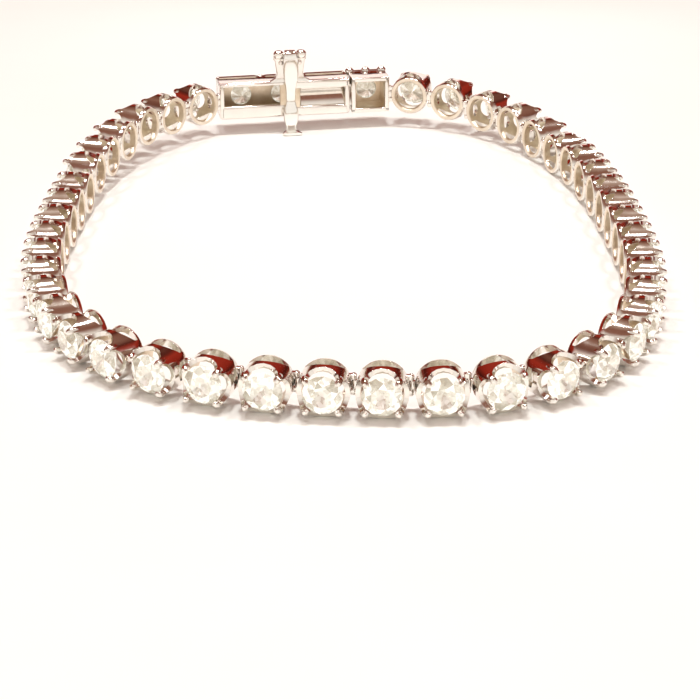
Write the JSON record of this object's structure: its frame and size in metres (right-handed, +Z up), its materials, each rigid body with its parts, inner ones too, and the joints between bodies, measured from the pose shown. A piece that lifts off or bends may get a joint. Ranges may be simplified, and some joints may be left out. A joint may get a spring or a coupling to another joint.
{
  "type": "tennis bracelet",
  "caption": "Line bracelet of round prong-set stones in polished white metal, closed by a box clasp with a hinged safety latch, lying on its edge as an open loop.",
  "frame": {"origin": "on the surface the bracelet lies on, under the middle of its bounding box", "axes": "+Z up from that surface, +Y towards the clasp at the back of the loop, +X to the right seen from the front"},
  "size_m": [0.0486, 0.0684, 0.0077],
  "materials": {
    "white_gold": "polished, rhodium-plated white gold",
    "latch_gold": "polished white gold, plain and bright",
    "diamond": "clear faceted round brilliant stones"
  },
  "bodies": {
    "bracelet": {"clasp_box": "white_gold", "tongue_link": "white_gold", "hinge_pin": "latch_gold", "link_01": "white_gold", "link_02": "white_gold", "link_03": "white_gold", "link_04": "white_gold", "link_05": "white_gold", "link_06": "white_gold", "link_07": "white_gold", "link_08": "white_gold", "link_09": "white_gold", "link_10": "white_gold", "link_11": "white_gold", "link_12": "white_gold", "link_13": "white_gold", "link_14": "white_gold", "link_15": "white_gold", "link_16": "white_gold", "link_17": "white_gold", "link_18": "white_gold", "link_19": "white_gold", "link_20": "white_gold", "link_21": "white_gold", "link_22": "white_gold", "link_23": "white_gold", "link_24": "white_gold", "link_25": "white_gold", "link_26": "white_gold", "link_27": "white_gold", "link_28": "white_gold", "link_29": "white_gold", "link_30": "white_gold", "link_31": "white_gold", "link_32": "white_gold", "link_33": "white_gold", "link_34": "white_gold", "link_35": "white_gold", "link_36": "white_gold", "link_37": "white_gold", "link_38": "white_gold", "link_39": "white_gold", "link_40": "white_gold", "link_41": "white_gold", "link_42": "white_gold"},
    "latch": {"safety_latch": "latch_gold"}
  },
  "joints": [
    {"name": "latch_hinge", "type": "hinge", "parent": "bracelet", "child": "latch", "pos_m": [-0.00611, 0.02944, 0.0073], "axis": [-0.9772, -0.2121, 0], "range_deg": [0, 150]}
  ]
}
